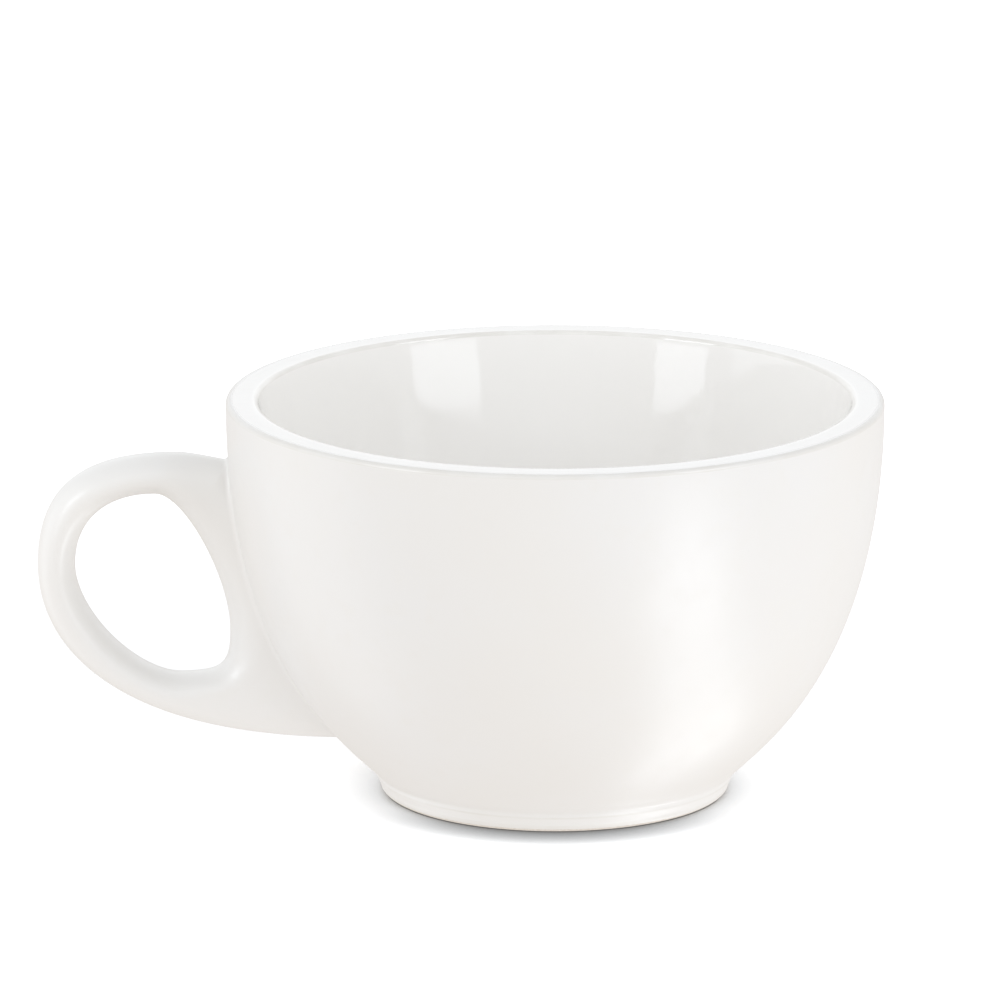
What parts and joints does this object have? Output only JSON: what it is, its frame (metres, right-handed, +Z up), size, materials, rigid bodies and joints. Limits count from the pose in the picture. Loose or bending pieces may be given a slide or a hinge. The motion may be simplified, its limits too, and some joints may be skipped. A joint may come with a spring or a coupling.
{
  "type": "latte cup",
  "caption": "Wide round ceramic latte cup with a thick flat rim, a low foot ring and a closed ring handle luted to its wall.",
  "frame": {"origin": "middle of the cup's length and width, on the table plane that the foot ring stands on", "axes": "+Z up, -X towards the handle, +X towards the bowl, Y across; the bowl's axis is upright at x 15.55 mm, y 0"},
  "size_m": [0.1391, 0.108, 0.066],
  "materials": {
    "white_glaze": "gloss",
    "slip": "matte"
  },
  "bodies": {
    "root": {"bowl": "white_glaze", "handle": "white_glaze", "slip_joint": "slip"}
  },
  "joints": []
}
